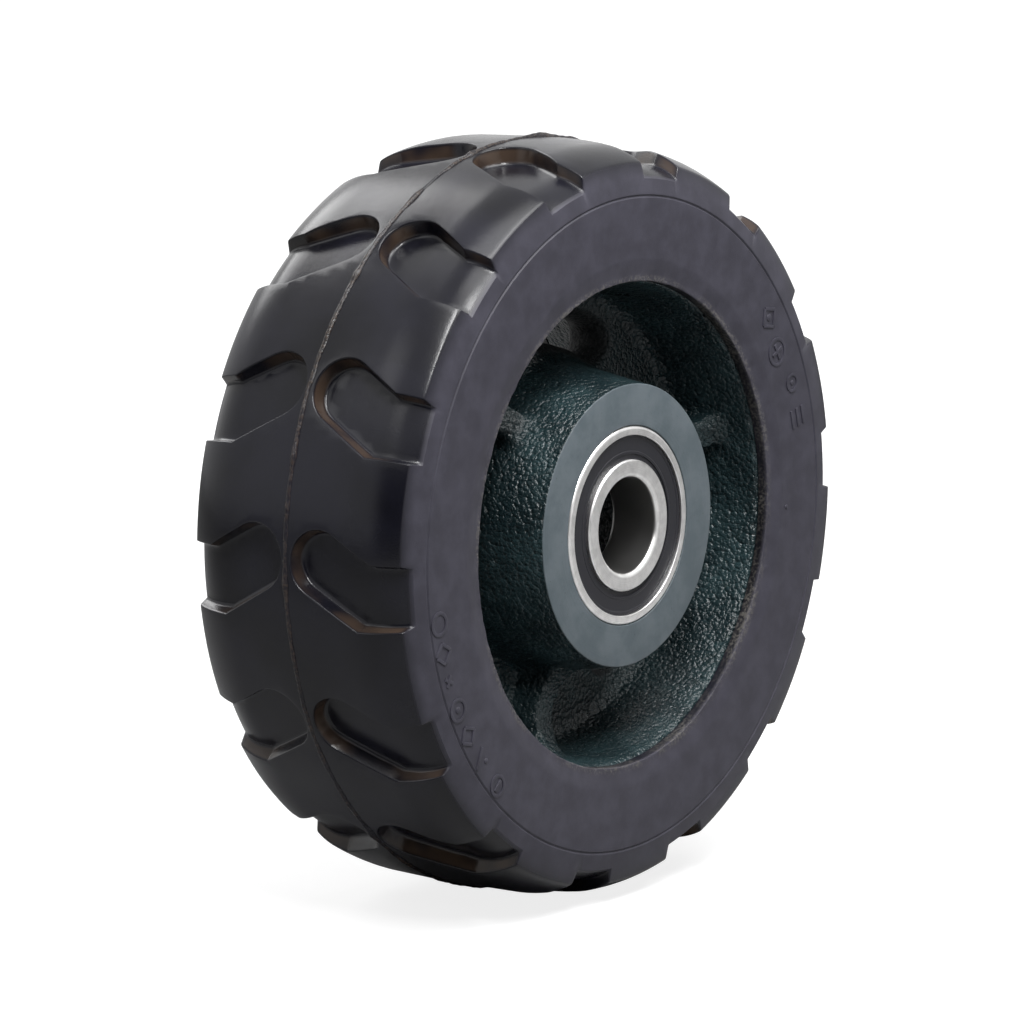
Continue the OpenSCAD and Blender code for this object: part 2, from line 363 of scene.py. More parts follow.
# %% [markdown]
# ## One pitch of the tread
# The pattern repeats fourteen times on each side, so one pitch is made flat, like a strip of
# dough, and wrapped on afterwards. The channel is one face of the strip. Each call of
# `inset_region` shrinks that face and sinks it, which gives in turn the rounded rim, the
# drafted wall and the filleted floor of a moulded pocket. A boolean cut would leave knife
# edges. Straight cuts with `bisect_plane` then add the rows and columns that bend.

# %% Outline of a channel
RIM_GROW = 0.3 * MM
OVERRUN = 4 * MM
END_STEPS = 14
bend_s = SIDE_Y - CHANNEL_RUN
end_s = CHANNEL_GAP + CHANNEL_W / 2
end_x = (bend_s - end_s) * math.tan(CHANNEL_LEAN)
mouth_s = s_bevel + OVERRUN


def channel_outline():
    """The channel's rim seen from outside, from one side of its mouth round its end to the other."""
    half = CHANNEL_W / 2 + RIM_GROW
    mitre = half * math.tan(CHANNEL_LEAN / 2)
    points = [(half, mouth_s), (half, bend_s + mitre)]
    for i in range(END_STEPS + 1):
        a = CHANNEL_LEAN - math.pi * i / END_STEPS
        points.append((end_x + half * math.cos(a), end_s + half * math.sin(a)))
    return points + [(-half, bend_s - mitre), (-half, mouth_s)]


# %% Flat pitch with its channel
WALL_STEPS = [(0.15, 0.03), (0.15, 0.12), (0.12, 0.25), (0.45, 3.0), (0.2, 0.6), (0.35, 0.35), (0.5, 0.15)]
COLUMNS = 18
EXTRA_ROWS = [8 * MM, 12 * MM, 15 * MM]
SEAM_WELD = 0.55 * MM
pitch_start = end_x / 2 - pitch / 2
pitch_end = pitch_start + pitch


def cut(sheet, point, normal, clear=False):
    """Cuts the sheet along a plane, and drops what lies past it if asked."""
    everything = sheet.verts[:] + sheet.edges[:] + sheet.faces[:]
    bmesh.ops.bisect_plane(sheet, geom=everything, dist=1e-7, plane_co=point, plane_no=normal,
                           clear_outer=clear)


def flat_pitch():
    """A strip: x runs round the wheel, y along the section, z is the share of the channel's depth."""
    strip = bmesh.new()
    rim = [strip.verts.new((x, s, 0)) for x, s in channel_outline()]
    border = [(pitch_start, mouth_s), (pitch_start, 0), (pitch_end, 0), (pitch_end, mouth_s)]
    strip.faces.new([strip.verts.new((x, s, 0)) for x, s in border] + rim)
    channel = strip.faces.new(rim[::-1])
    strip.normal_update()
    for inset, fall in WALL_STEPS:
        bmesh.ops.inset_region(strip, faces=[channel], thickness=inset * MM, use_even_offset=True,
                               use_boundary=True)
        bmesh.ops.translate(strip, verts=channel.verts[:], vec=(0, 0, -fall * MM / CHANNEL_DEPTH))
    cut(strip, (0, s_bevel, 0), (0, 1, 0), clear=True)
    for s in [*along[1:bevel_count], *EXTRA_ROWS]:
        cut(strip, (0, s, 0), (0, 1, 0))
    for i in range(1, COLUMNS):
        cut(strip, (pitch_start + pitch * i / COLUMNS, 0, 0), (1, 0, 0))
    return strip


# %% [markdown]
# ## From the strip to the whole tyre
# The strip ends where the channels run out on the side. There all its points are brought to
# one height, neighbours that nearly touch are welded, and the open edge is extruded along the
# rest of the section: bevel, groove, sidewall, lip and the bore that grips the hub. One
# function then lays every point on the wheel. The points on top and on the floor of a channel
# have different radii at the same width, so a point's own depth blends between the two.

# %% Tyre mesh
def drop_side(strip):
    """Extrudes the strip's outer edge along the section, to the middle of the tyre's bore."""
    edge = [e for e in strip.edges if e.is_boundary and all(abs(v.co.y - s_bevel) < 1e-6 for v in e.verts)]
    verts = sorted({v for e in edge for v in e.verts}, key=lambda v: v.co.x)
    for v in verts:
        v.co.z = 0
    bmesh.ops.remove_doubles(strip, verts=verts, dist=SEAM_WELD)
    edge = [e for e in strip.edges if e.is_boundary and all(abs(v.co.y - s_bevel) < 1e-6 for v in e.verts)]
    for here, there in zip(along[bevel_count:], along[bevel_count + 1:]):
        made = bmesh.ops.extrude_edge_only(strip, edges=edge)["geom"]
        edge = [g for g in made if isinstance(g, bmesh.types.BMEdge)]
        verts = [g for g in made if isinstance(g, bmesh.types.BMVert)]
        bmesh.ops.translate(strip, verts=verts, vec=(0, there - here, 0))


def lay_on_wheel(strip):
    """Moves the flat strip onto the front half of the wheel and keeps each point's depth in a channel."""
    depth_kept = strip.verts.layers.float.new("channel_depth")
    for v in strip.verts:
        x, s, depth = v.co.x, v.co.y, -v.co.z
        radius, y = np.interp(s, along, section_r), np.interp(s, along, section_y)
        if depth:
            radius += (np.interp(y, floor_y, floor_r) - radius) * depth
        turn = CHANNEL_PHASE + x / TREAD_R
        v[depth_kept] = depth
        v.co = (radius * math.sin(turn), -y, radius * math.cos(turn))


def full_circle(mesh, copies):
    """Repeats a wedge round the axle, welds it, and mirrors it to the other side of the wheel."""
    wedge = mesh.verts[:] + mesh.edges[:] + mesh.faces[:]
    bmesh.ops.spin(mesh, geom=wedge, cent=(0, 0, 0), axis=(0, 1, 0),
                   angle=2 * math.pi * (copies - 1) / copies,
                   steps=copies - 1, use_duplicate=True)
    bmesh.ops.remove_doubles(mesh, verts=mesh.verts, dist=1e-6)
    half = mesh.verts[:] + mesh.edges[:] + mesh.faces[:]
    bmesh.ops.mirror(mesh, geom=half, axis="Y", merge_dist=1e-6)
    bmesh.ops.remove_doubles(mesh, verts=mesh.verts, dist=1e-6)
    bmesh.ops.recalc_face_normals(mesh, faces=mesh.faces)


def finished(mesh, name, crease_angle=35):
    """Turns a bmesh into a smooth-shaded object in the scene, with creases where it bends sharply."""
    data = bpy.data.meshes.new(name)
    mesh.to_mesh(data)
    open_edges = sum(e.is_boundary for e in mesh.edges)
    mesh.free()
    data.shade_smooth()
    data.set_sharp_from_angle(angle=math.radians(crease_angle))
    made = bpy.data.objects.new(name, data)
    bpy.context.scene.collection.objects.link(made)
    triangles = sum(len(p.vertices) - 2 for p in data.polygons)
    print(name, triangles, "triangles,", open_edges, "open edges")
    return made


tyre_mesh = flat_pitch()
drop_side(tyre_mesh)
lay_on_wheel(tyre_mesh)
full_circle(tyre_mesh, CHANNELS)

# %% [markdown]
# ## The moulding line
# The two halves of the mould meet in the middle of the tread, and rubber is squeezed out
# between them. It leaves a thin bead that wanders, swells and tears. An arch spun round the
# wheel gives the bead, and smooth noise that depends only on the angle bends it, so that the
# end of the circle meets its start. A few lumps mark where the rubber was cut off.

# %% Moulding bead
BEAD_STEPS = 960
BEAD_FOOT = 0.35 * MM
BEAD_ARCH = [(-1.0, 0.0), (-0.8, 0.42), (-0.45, 0.82), (0.0, 1.0), (0.45, 0.82), (0.8, 0.42), (1.0, 0.0)]
BEAD_HALF_W = 0.8 * MM
BEAD_LUMPS = [(4, 1.0, 2.2), (12, 0.5, 1.5), (-13, 0.6, 1.2), (-28, 0.5, 1.6), (-45, 0.7, 1.1),
              (-74, 0.55, 1.5), (-93, 0.6, 1.3), (-139, 0.8, 1.4), (95, 0.7, 1.5), (141, 0.6, 1.8),
              (170, 0.9, 1.4)]


def ring_noise(angle, size, seed):
    """Smooth noise from -1 to 1 round the wheel, with waves about size metres long."""
    reach = TREAD_R / size
    return noise.noise(Vector((math.sin(angle) * reach, seed, math.cos(angle) * reach)))


def lump_height(angle):
    """Share of the full height that a lump adds at an angle."""
    height = 0
    for lump_angle, share, half_width in BEAD_LUMPS:
        away = (math.degrees(angle) - lump_angle + 180) % 360 - 180
        height = max(height, share * math.exp(-(away / half_width) ** 2))
    return height


bead = bmesh.new()
arch = [bead.verts.new((0, y * BEAD_HALF_W, TREAD_R + h * FLASH_H)) for y, h in BEAD_ARCH]
arch += [bead.verts.new((0, y * BEAD_HALF_W, TREAD_R - BEAD_FOOT)) for y in (1, -1)]
loop = [bead.edges.new(pair) for pair in zip(arch, arch[1:] + arch[:1])]
bmesh.ops.spin(bead, geom=arch + loop, cent=(0, 0, 0), axis=(0, 1, 0), angle=2 * math.pi, steps=BEAD_STEPS,
               use_merge=True)
for v in bead.verts:
    angle = math.atan2(v.co.x, v.co.z)
    radius = math.hypot(v.co.x, v.co.z)
    swell = 0.42 + 0.22 * ring_noise(angle, 9 * MM, 1) + 0.16 * ring_noise(angle, 2.2 * MM, 2)
    lump = lump_height(angle)
    height = min(max(swell, 0.12) + 0.6 * lump, 0.96)
    rise = radius - TREAD_R
    radius = TREAD_R + (rise * height if rise > 0 else rise)
    y = v.co.y * (0.85 + 0.3 * ring_noise(angle, 5 * MM, 3) + 0.7 * lump)
    y += (0.35 * ring_noise(angle, 30 * MM, 4) + 0.12 * ring_noise(angle, 3 * MM, 5)) * MM
    v.co = (radius * math.sin(angle), y, radius * math.cos(angle))
bmesh.ops.recalc_face_normals(bead, faces=bead.faces)
print("bead of", len(bead.verts), "points")

# %% [markdown]
# ## Moulded marks
# The sidewall of such a tyre carries a few small raised marks from the mould. They are plain
# signs here, such as rings, pips, bars and lozenges. Each is a small closed shape made flat,
# sunk a little way into the rubber and turned to its place on the wheel.

# %% Shapes of the marks
MARK_SINK = 0.3 * MM
MARK_ROUND = 0.12 * MM
marks = bmesh.new()


def place_mark(verts, radius, angle, side, tilt=0.0):
    """Takes points built flat at the wheel's top to a place on one sidewall."""
    bmesh.ops.rotate(marks, verts=verts, cent=(0, 0, 0), matrix=Matrix.Rotation(math.radians(tilt), 3, "Y"))
    bmesh.ops.translate(marks, verts=verts, vec=(0, 0, radius * MM))
    bmesh.ops.scale(marks, verts=verts, vec=(1, -side, 1))
    bmesh.ops.rotate(marks, verts=verts, cent=(0, 0, 0), matrix=Matrix.Rotation(math.radians(angle), 3, "Y"))


def mark_bar(length, width, radius, angle, side, tilt=0.0, aside=0.0):
    """A bar with a bevelled top that lies along the wheel's turn, or tilted from it."""
    made = bmesh.ops.create_cube(marks, size=1)["verts"]
    thickness = MARK_SINK + MARK_H
    bmesh.ops.scale(marks, verts=made, vec=(length * MM, thickness, width * MM))
    bmesh.ops.translate(marks, verts=made, vec=(0, -(SIDE_Y - thickness / 2), aside * MM))
    top = [e for e in marks.edges if e.verts[0] in made and all(v.co.y < -wall_y for v in e.verts)]
    faces = bmesh.ops.bevel(marks, geom=top, offset=MARK_ROUND, affect="EDGES", segments=2, profile=0.5,
                            material=-1)["faces"]
    made = list({v for f in faces for v in f.verts} | {v for v in made if v.is_valid})
    place_mark(made, radius, angle, side, tilt)


def mark_ring(size, width, radius, angle, side):
    """A round ring with a domed section."""
    outer, middle, inner = size / 2 * MM, (size - width) / 2 * MM, (size / 2 - width) * MM
    points = [(outer, MARK_SINK), (outer, -0.6 * MARK_H), (middle, -MARK_H), (inner, -0.6 * MARK_H),
              (inner, MARK_SINK)]
    before = set(marks.verts)
    made = [marks.verts.new((r, y - wall_y, 0)) for r, y in points]
    edges = [marks.edges.new(pair) for pair in zip(made, made[1:] + made[:1])]
    bmesh.ops.spin(marks, geom=made + edges, cent=(0, 0, 0), axis=(0, 1, 0), angle=2 * math.pi, steps=32,
                   use_merge=True)
    place_mark([v for v in marks.verts if v not in before], radius, angle, side)


def mark_pip(size, radius, angle, side):
    """A round pip."""
    made = bmesh.ops.create_uvsphere(marks, u_segments=16, v_segments=8, radius=size / 2 * MM)["verts"]
    bmesh.ops.scale(marks, verts=made, vec=(1, 2 * MARK_H / (size * MM), 1))
    bmesh.ops.translate(marks, verts=made, vec=(0, -wall_y, 0))
    place_mark(made, radius, angle, side)


def mark_lozenge(size, width, radius, angle, side):
    """Four bars round a square that stands on its corner."""
    for quarter in range(4):
        mark_bar(size, width, radius, angle, side, 45 + 90 * quarter, size / 2)


# %% Moulded marks
STROKE = 1.0
for side in (-1, 1):
    mark_lozenge(4.6, STROKE, 78.5, 52.5, side)
    mark_pip(2.2, 78.5, 52.5, side)
    mark_ring(8.0, STROKE, 76.4, 60.0, side)
    mark_bar(4.6, STROKE, 76.4, 60.0, side)
    mark_bar(4.6, STROKE, 76.4, 60.0, side, 90)
    mark_ring(5.4, 0.9, 78.9, 68.4, side)
    mark_pip(1.6, 78.9, 68.4, side)
    for aside in (-2.4, 0, 2.4):
        mark_bar(5.2, STROKE, 78.4, 75.6, side, 0, aside)
    mark_pip(1.4, 71.1, 93.5, side)
    mark_ring(6.6, STROKE, 82.0, 260.2, side)
    mark_lozenge(4.0, STROKE, 82.0, 254.6, side)
    mark_bar(3.4, STROKE, 82.2, 249.3, side, 45)
    mark_bar(3.4, STROKE, 82.2, 249.3, side, -45)
    mark_ring(6.6, STROKE, 82.0, 243.2, side)
    mark_pip(2.0, 82.0, 243.2, side)
    mark_lozenge(4.0, STROKE, 82.0, 237.4, side)
    mark_bar(6.0, STROKE, 82.0, 231.8, side, 60)
    mark_pip(1.6, 80.6, 230.0, side)
    mark_ring(6.2, STROKE, 82.0, 224.0, side)
    mark_bar(3.6, STROKE, 82.0, 224.0, side, 90)
bmesh.ops.recalc_face_normals(marks, faces=marks.faces)
print("marks of", len(marks.verts), "points")

# %% [markdown]
# ## Life in the rubber
# Moulded rubber is never as true as the mould. It shrinks unevenly and the lip is ragged where
# it meets the hub. `noise` moves each point along its own normal by a few hundredths of a
# millimetre, and more on the lip, while every point stays within the real size.

# %% One rubber mesh
def join(mesh, other, marker=None):
    """Adds another bmesh to a mesh as its own closed shells, and may mark its points."""
    data = bpy.data.meshes.new("joined")
    for name in {marker} - {None}:
        mesh.verts.layers.float.new(name)
        layer = other.verts.layers.float.new(name)
        for v in other.verts:
            v[layer] = 1
    other.to_mesh(data)
    other.free()
    mesh.from_mesh(data)
    bpy.data.meshes.remove(data)


join(tyre_mesh, bead, "bead")
join(tyre_mesh, marks)
print("tyre of", len(tyre_mesh.verts), "points")

# %% Uneven rubber
WALL_WAVE = 0.06 * MM
LIP_ROUGH = 0.28 * MM
tyre_mesh.normal_update()
shifts = []
for v in tyre_mesh.verts:
    radius = math.hypot(v.co.x, v.co.z)
    wave = noise.noise(v.co / (14 * MM)) * WALL_WAVE
    on_lip = abs(v.co.y) > lip_y - LIP_T + 0.3 * MM
    ragged = max(0.0, 1 - abs(radius - 64.4 * MM) / (2.6 * MM)) if on_lip else 0
    rough = noise.noise(v.co / (1.6 * MM)) + 0.6 * noise.noise(v.co / (5 * MM))
    shifts.append(v.normal * (wave - WALL_WAVE + ragged * (rough - 0.5) * LIP_ROUGH))
for v, shift in zip(tyre_mesh.verts, shifts):
    v.co += shift
    v.co.y = max(-SIDE_Y, min(SIDE_Y, v.co.y))
tyre = finished(tyre_mesh, "moulded_tyre")
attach(tyre, "wheel")
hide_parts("tyre")

# %% [markdown]
# ## The cast hub
# Sand casting leaves a pebbly skin and rounds every edge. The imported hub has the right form
# with crisp edges, so its copy is wrapped in a fresh even skin by a Remesh modifier, smoothed,
# and roughened with noise. A remesh can't keep the faces that were turned on a lathe, so those
# are spun separately as thin lands and stand a little proud of the skin.

# %% Skin of the casting
SKIN_VOXEL = 1.12 * MM
PEBBLE = 0.2 * MM
LAND_ABOVE = 0.12 * MM


def fresh_skin(node, voxel):
    """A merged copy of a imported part, remeshed into even small faces."""
    copy = bmesh.new()
    copy.from_mesh(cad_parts[node].data)
    bmesh.ops.remove_doubles(copy, verts=copy.verts, dist=0.005 * MM)
    data = bpy.data.meshes.new(node + "_copy")
    copy.to_mesh(data)
    copy.free()
    source = bpy.data.objects.new(node + "_copy", data)
    bpy.context.scene.collection.objects.link(source)
    modifier = source.modifiers.new("skin", "REMESH")
    modifier.mode = "VOXEL"
    modifier.voxel_size = voxel
    result = bpy.data.meshes.new_from_object(source.evaluated_get(bpy.context.evaluated_depsgraph_get()))
    bpy.data.objects.remove(source)
    skin = bmesh.new()
    skin.from_mesh(result)
    bpy.data.meshes.remove(result)
    return skin


# %% Draft of the slots
WEB_HALF = 7 * MM
SLOT_R = 48.75 * MM
SLOT_HALF_W = 6.75 * MM
SLOT_HALF_ANGLE = math.radians(13)
SLOT_CENTRES = [math.radians(14 + 120 * i) for i in range(3)]
SLOT_DRAFT = 2.8 * MM


def to_slot(v):
    """The shortest step from a point to the middle line of the nearest slot, in the wheel's plane."""
    angle = math.atan2(v.co.x, v.co.z)
    centre = min(SLOT_CENTRES, key=lambda c: abs(math.remainder(angle - c, 2 * math.pi)))
    away = max(-SLOT_HALF_ANGLE, min(SLOT_HALF_ANGLE, math.remainder(angle - centre, 2 * math.pi)))
    middle = Vector((math.sin(centre + away), 0, math.cos(centre + away))) * SLOT_R
    return middle - Vector((v.co.x, 0, v.co.z))


def draft_slots(skin):
    """Narrows each slot towards the middle of the web, where the two halves of the mould met."""
    for v in skin.verts:
        if abs(v.co.y) < WEB_HALF:
            step = to_slot(v)
            if abs(step.length - SLOT_HALF_W) < 0.8 * MM:
                v.co += step.normalized() * SLOT_DRAFT * (1 - (v.co.y / WEB_HALF) ** 2)


hub_mesh = fresh_skin("hub", SKIN_VOXEL)
draft_slots(hub_mesh)
bmesh.ops.smooth_vert(hub_mesh, verts=hub_mesh.verts, factor=0.5, use_axis_x=True, use_axis_y=True,
                      use_axis_z=True)
hub_mesh.normal_update()
pebbles = []
for v in hub_mesh.verts:
    radius = math.hypot(v.co.x, v.co.z)
    off_bore = min(1, max(0, (radius - 26.5 * MM) / (2 * MM)))
    off_rim = min(1, max(0, (HUB_R - 0.5 * MM - radius) / (1 * MM)))
    cast = off_bore * off_rim
    height = noise.noise(v.co / (2.3 * MM)) + 0.7 * noise.noise(v.co / (6 * MM)) - 0.2
    pebbles.append(v.normal * height * PEBBLE * cast)
for v, shift in zip(hub_mesh.verts, pebbles):
    v.co += shift
    radius = math.hypot(v.co.x, v.co.z)
    limit = BOSS_Y - LAND_ABOVE if radius < BOSS_R + 1 * MM else BOSS_Y
    v.co.y = max(-limit, min(limit, v.co.y))
    if radius > HUB_R - 0.2 * MM:
        v.co.x *= (HUB_R - 0.2 * MM) / radius
        v.co.z *= (HUB_R - 0.2 * MM) / radius
print("casting skin of", len(hub_mesh.faces), "faces")


# %% Turned lands of the hub
def turned(points, steps=192):
    """Spins a closed section of (radius, y) points round the axle into a mesh of its own."""
    mesh = bmesh.new()
    verts = [mesh.verts.new((0, y, radius)) for radius, y in points]
    edges = [mesh.edges.new(pair) for pair in zip(verts, verts[1:] + verts[:1])]
    bmesh.ops.spin(mesh, geom=verts + edges, cent=(0, 0, 0), axis=(0, 1, 0), angle=2 * math.pi, steps=steps,
                   use_merge=True)
    bmesh.ops.recalc_face_normals(mesh, faces=mesh.faces)
    return mesh


def round_corner(centre, radius, start, end, steps=6):
    """Points on a part of a circle, from one angle in degrees to another."""
    angles = [math.radians(start + (end - start) * i / steps) for i in range(steps + 1)]
    return [(centre[0] + radius * math.cos(a), centre[1] + radius * math.sin(a)) for a in angles]


LAND_ROUND = 0.35 * MM
LAND_DEEP = 1.6 * MM
outer_edge = round_corner((BOSS_R - LAND_ROUND, BOSS_Y - LAND_ROUND), LAND_ROUND, 0, 90, 4)
inner_edge = [(RING_R + 0.3 * MM, BOSS_Y), (RING_R, BOSS_Y - 0.3 * MM), (RING_R, BOSS_Y - LAND_DEEP)]
land = outer_edge + inner_edge + [(BOSS_R, BOSS_Y - LAND_DEEP)]
for side in (-1, 1):
    join(hub_mesh, turned([(radius, side * y) for radius, y in land]))
hub = finished(hub_mesh, "cast_hub")
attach(hub, "wheel")
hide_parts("hub")

# %% [markdown]
# ## The ball bearings
# A bearing ring is ground all over, so its section is exact: round corners, two grooves for
# the seals and a deep track for the balls. The section is written for one half, mirrored, and
# spun. The balls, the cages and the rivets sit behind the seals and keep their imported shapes.

# %% Bearing sections
BEARING_HALF = RING_W / 2
BORE_ROUND = 1.3 * MM
RING_ROUND = 0.9 * MM
INNER_LAND_R = 17.2 * MM
OUTER_LAND_R = 21.85 * MM
PITCH_R = (INNER_LAND_R + OUTER_LAND_R) / 2
ball_low, ball_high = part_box("front_ball_1")
BALL_R = (ball_high.y - ball_low.y) / 2
TRACK_R = BALL_R * 1.035
TRACK_CLEAR = 0.04 * MM
SEAL_MOUTH_R = 23.6 * MM
SEAL_GROOVE_R = 24 * MM
SEAL_T = 1.2 * MM
SEAL_DEPTH = 0.8 * MM
seal_face = BEARING_HALF - SEAL_DEPTH
seal_back = seal_face - SEAL_T


def track(land_r, outwards):
    """The ball track from its deepest point to where it meets the land."""
    centre = PITCH_R + outwards * (BALL_R + TRACK_CLEAR - TRACK_R)
    reach = math.degrees(math.acos((land_r - centre) * outwards / TRACK_R))
    arc = round_corner((0, 0), TRACK_R, 0, reach, 10)
    return [(centre + outwards * x, y) for x, y in arc]


outer_half = track(OUTER_LAND_R, 1) + [
    (OUTER_LAND_R, seal_back), (SEAL_GROOVE_R, seal_back), (SEAL_GROOVE_R, seal_face),
    (SEAL_MOUTH_R, seal_face), (SEAL_MOUTH_R, BEARING_HALF - 0.15 * MM),
    (SEAL_MOUTH_R + 0.15 * MM, BEARING_HALF),
    *round_corner((RING_R - RING_ROUND, BEARING_HALF - RING_ROUND), RING_ROUND, 90, 0), (RING_R, 0)]
inner_half = track(INNER_LAND_R, -1) + [
    (INNER_LAND_R, BEARING_HALF - 0.4 * MM), (INNER_LAND_R - 0.4 * MM, BEARING_HALF),
    *round_corner((BORE_R + BORE_ROUND, BEARING_HALF - BORE_ROUND), BORE_ROUND, 90, 180, 8), (BORE_R, 0)]


def whole(half):
    """A half section and its mirror image as one closed outline."""
    return half + [(radius, -y) for radius, y in half[-2:0:-1]]


# %% Rings of both bearings
def bearing_piece(name, points, middle, body, node):
    """A turned piece of a bearing, at the bearing's place on the axle."""
    piece = finished(turned([(radius, middle + y) for radius, y in points]), name, 25)
    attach(piece, body)
    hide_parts(node)
    return piece


rings, seals = [], []
bearing_middle = RING_Y - BEARING_HALF
for side, way in (("front", -1), ("rear", 1)):
    middle = way * bearing_middle
    rings.append(bearing_piece(side + "_ground_outer_ring", whole(outer_half), middle, "wheel",
                               side + "_outer_ring"))
    rings.append(bearing_piece(side + "_ground_inner_ring", whole(inner_half), middle, "axle_rings",
                               side + "_inner_ring"))

# %% [markdown]
# ## The seals
# A bearing seal is a steel washer covered in rubber. Its outer bead snaps into the outer ring,
# and its thin lip runs on the inner ring. The face between has a shallow dish and a fine step
# on each side, which catch the light as thin circles.

# %% Seals of both bearings
SEAL_LIP_R = INNER_LAND_R + 0.05 * MM
SEAL_LIP_W = 1.4 * MM
SEAL_LIP_STEP = 0.35 * MM
dish = 0.12 * MM
seal_section = [
    (SEAL_LIP_R, seal_back), (SEAL_GROOVE_R, seal_back), (SEAL_GROOVE_R, seal_face - 0.1 * MM),
    (SEAL_MOUTH_R, seal_face - 0.1 * MM), (SEAL_MOUTH_R - 0.1 * MM, seal_face),
    (SEAL_MOUTH_R - 0.9 * MM, seal_face), (SEAL_MOUTH_R - 1.1 * MM, seal_face - dish),
    (SEAL_LIP_R + SEAL_LIP_W + 0.8 * MM, seal_face - dish), (SEAL_LIP_R + SEAL_LIP_W + 0.6 * MM, seal_face),
    (SEAL_LIP_R + SEAL_LIP_W, seal_face), (SEAL_LIP_R + SEAL_LIP_W - 0.1 * MM, seal_face - SEAL_LIP_STEP),
    (SEAL_LIP_R, seal_face - SEAL_LIP_STEP)]
for side, way in (("front", -1), ("rear", 1)):
    for place, turn in (("outer", way), ("inner", -way)):
        name = side + "_" + place
        points = [(r, turn * y) for r, y in seal_section]
        seals.append(bearing_piece(name + "_lipped_seal", points, way * bearing_middle, "wheel",
                                   name + "_seal"))

# %% [markdown]
# ## Rubber
# Black rubber is never one black. The tread keeps the gloss of the mould, the walls of the channels
# are stained brown, and the lip and the moulding line hold dust. The sidewall is a lighter bluish
# grey, partly a dull bloom on the rubber and partly painted sheen, as the one specular level
# reflects too little there. Position tells the shader where it is: the distance from the axle
# separates tread, sidewall and lip, and two numbers kept on the mesh mark the channels and the bead.

# %% Rubber finish
rubber = Finish("tyre_rubber", Specular_IOR_Level=0.25)
radius, axial = rubber.radius(), rubber.axial()
sidewall = rubber.between(axial, 32.4 * MM, 33.8 * MM)
lip = rubber.between(radius, 65.6 * MM, 64.0 * MM) * rubber.between(axial, 30 * MM, 32 * MM)
depth = rubber.attribute("channel_depth")
bead_share = rubber.attribute("bead")
wall = rubber.between(depth * (1 - depth), 0.04, 0.2) * rubber.between(axial, 33.4 * MM, 31 * MM)

cloud = rubber.grain(38 * MM, 3, 0.55)
smear = rubber.grain(7 * MM, 4, 0.6)
patch = rubber.grain(16 * MM, 2, 0.5)
speck = rubber.grain(0.8 * MM, 3, 0.6)
fine = rubber.grain(0.35 * MM, 2, 0.6)

lug_black = rubber.mix(rubber.between(cloud, 0.35, 0.7), shade(9, 9, 14), shade(22, 22, 30))
# Partly painted sheen: the sidewall's lighter bluish grey is in part a dull bloom on the rubber and in part
# painted reflection.
sidewall_bloom_and_sheen = rubber.mix(rubber.between(smear, 0.3, 0.75), shade(43, 42, 50), shade(54, 53, 62))
colour = rubber.mix(sidewall, lug_black, sidewall_bloom_and_sheen)
stain = wall * rubber.between(patch, 0.36, 0.58)
colour = rubber.mix(stain * 0.44, colour, shade(78, 63, 50))
dust = rubber.between(speck, 0.42, 0.62)
ragged = rubber.between(patch + speck * 0.35, 0.5, 0.85)
colour = rubber.mix(lip * ragged * (0.06 + dust * 0.38), colour, shade(106, 103, 97))
bead_dust = bead_share * rubber.between(patch, 0.3, 0.55) * (0.04 + dust * 0.24)
colour = rubber.mix(bead_dust, colour, shade(86, 71, 58))
rubber.feed({"Base Color": colour})
polish = 0.13 + cloud * 0.1 + smear * 0.06
rubber.feed({"Roughness": polish + sidewall * 0.27 + lip * 0.2 + bead_share * 0.05})
swell = rubber.bump(rubber.grain(5 * MM, 3, 0.5), 0.1 * MM, 0.4)
rubber.feed({"Normal": rubber.bump(fine + dust * (lip * ragged + bead_share) * 2.5, 0.05 * MM, 0.5, swell)})

# %% [markdown]
# ## Painted iron
# The casting is dipped in a dark green paint that shines on every pebble of the sand skin. The
# boss was turned afterwards and got only a thin grey coat, in which the brush left fine arcs.
# Pebbles are a Voronoi pattern: each cell is a small dome, which a plain noise never gives.

# %% Iron finish
iron = Finish("hub_paint", Specular_IOR_Level=0.36)
radius, axial = iron.radius(), iron.axial()
turned_face = iron.between(axial, BOSS_Y - 0.25 * MM, BOSS_Y - 0.05 * MM) * iron.between(
    radius, BOSS_R + 0.4 * MM, BOSS_R)


def domes(finish, size):
    """Rounded pebbles about size metres apart, 1 on top and 0 between them."""
    inputs = {"Vector": finish.place(), "Scale": 1 / size, "Randomness": 1.0}
    away = finish.node("ShaderNodeTexVoronoi", {"feature": "F1"}, inputs, "Distance")
    return 1 - away * away


pebble = domes(iron, 1.25 * MM)
grit = domes(iron, 0.6 * MM)
fleck = iron.grain(0.8 * MM, 3, 0.65)
pool = iron.grain(14 * MM, 3, 0.6)
paint = iron.mix(iron.between(pool, 0.35, 0.7), shade(17, 29, 32), shade(31, 47, 50))
paint = iron.mix(iron.between(fleck, 0.64, 0.74) * 0.6, paint, shade(84, 92, 86))
# Painted shade: the casting within about 7 mm of the middle plane, which is the slot walls, is darkened
# almost to black and made rougher, standing in for the shade inside the slots.
slot_painted_shade = iron.between(axial, 7.4 * MM, 5.4 * MM)
paint = iron.mix(slot_painted_shade * 0.85, paint, shade(5, 7, 8))
face = iron.mix(iron.between(iron.grain(11 * MM, 4, 0.65), 0.35, 0.65), shade(66, 75, 80), shade(79, 87, 92))
face = iron.mix(iron.between(fleck, 0.66, 0.74) * 0.6, face, shade(44, 52, 54))
iron.feed({"Base Color": iron.mix(turned_face, paint, face)})
iron.feed({"Roughness": 0.22 + pool * 0.16 + turned_face * 0.3 + slot_painted_shade * 0.4})
skin = iron.bump(pebble + grit * 0.4 + fleck * 0.4, 0.55 * MM, 0.85)
round_face = iron.node("ShaderNodeCombineXYZ", None, (radius, 0.0, 0.0))
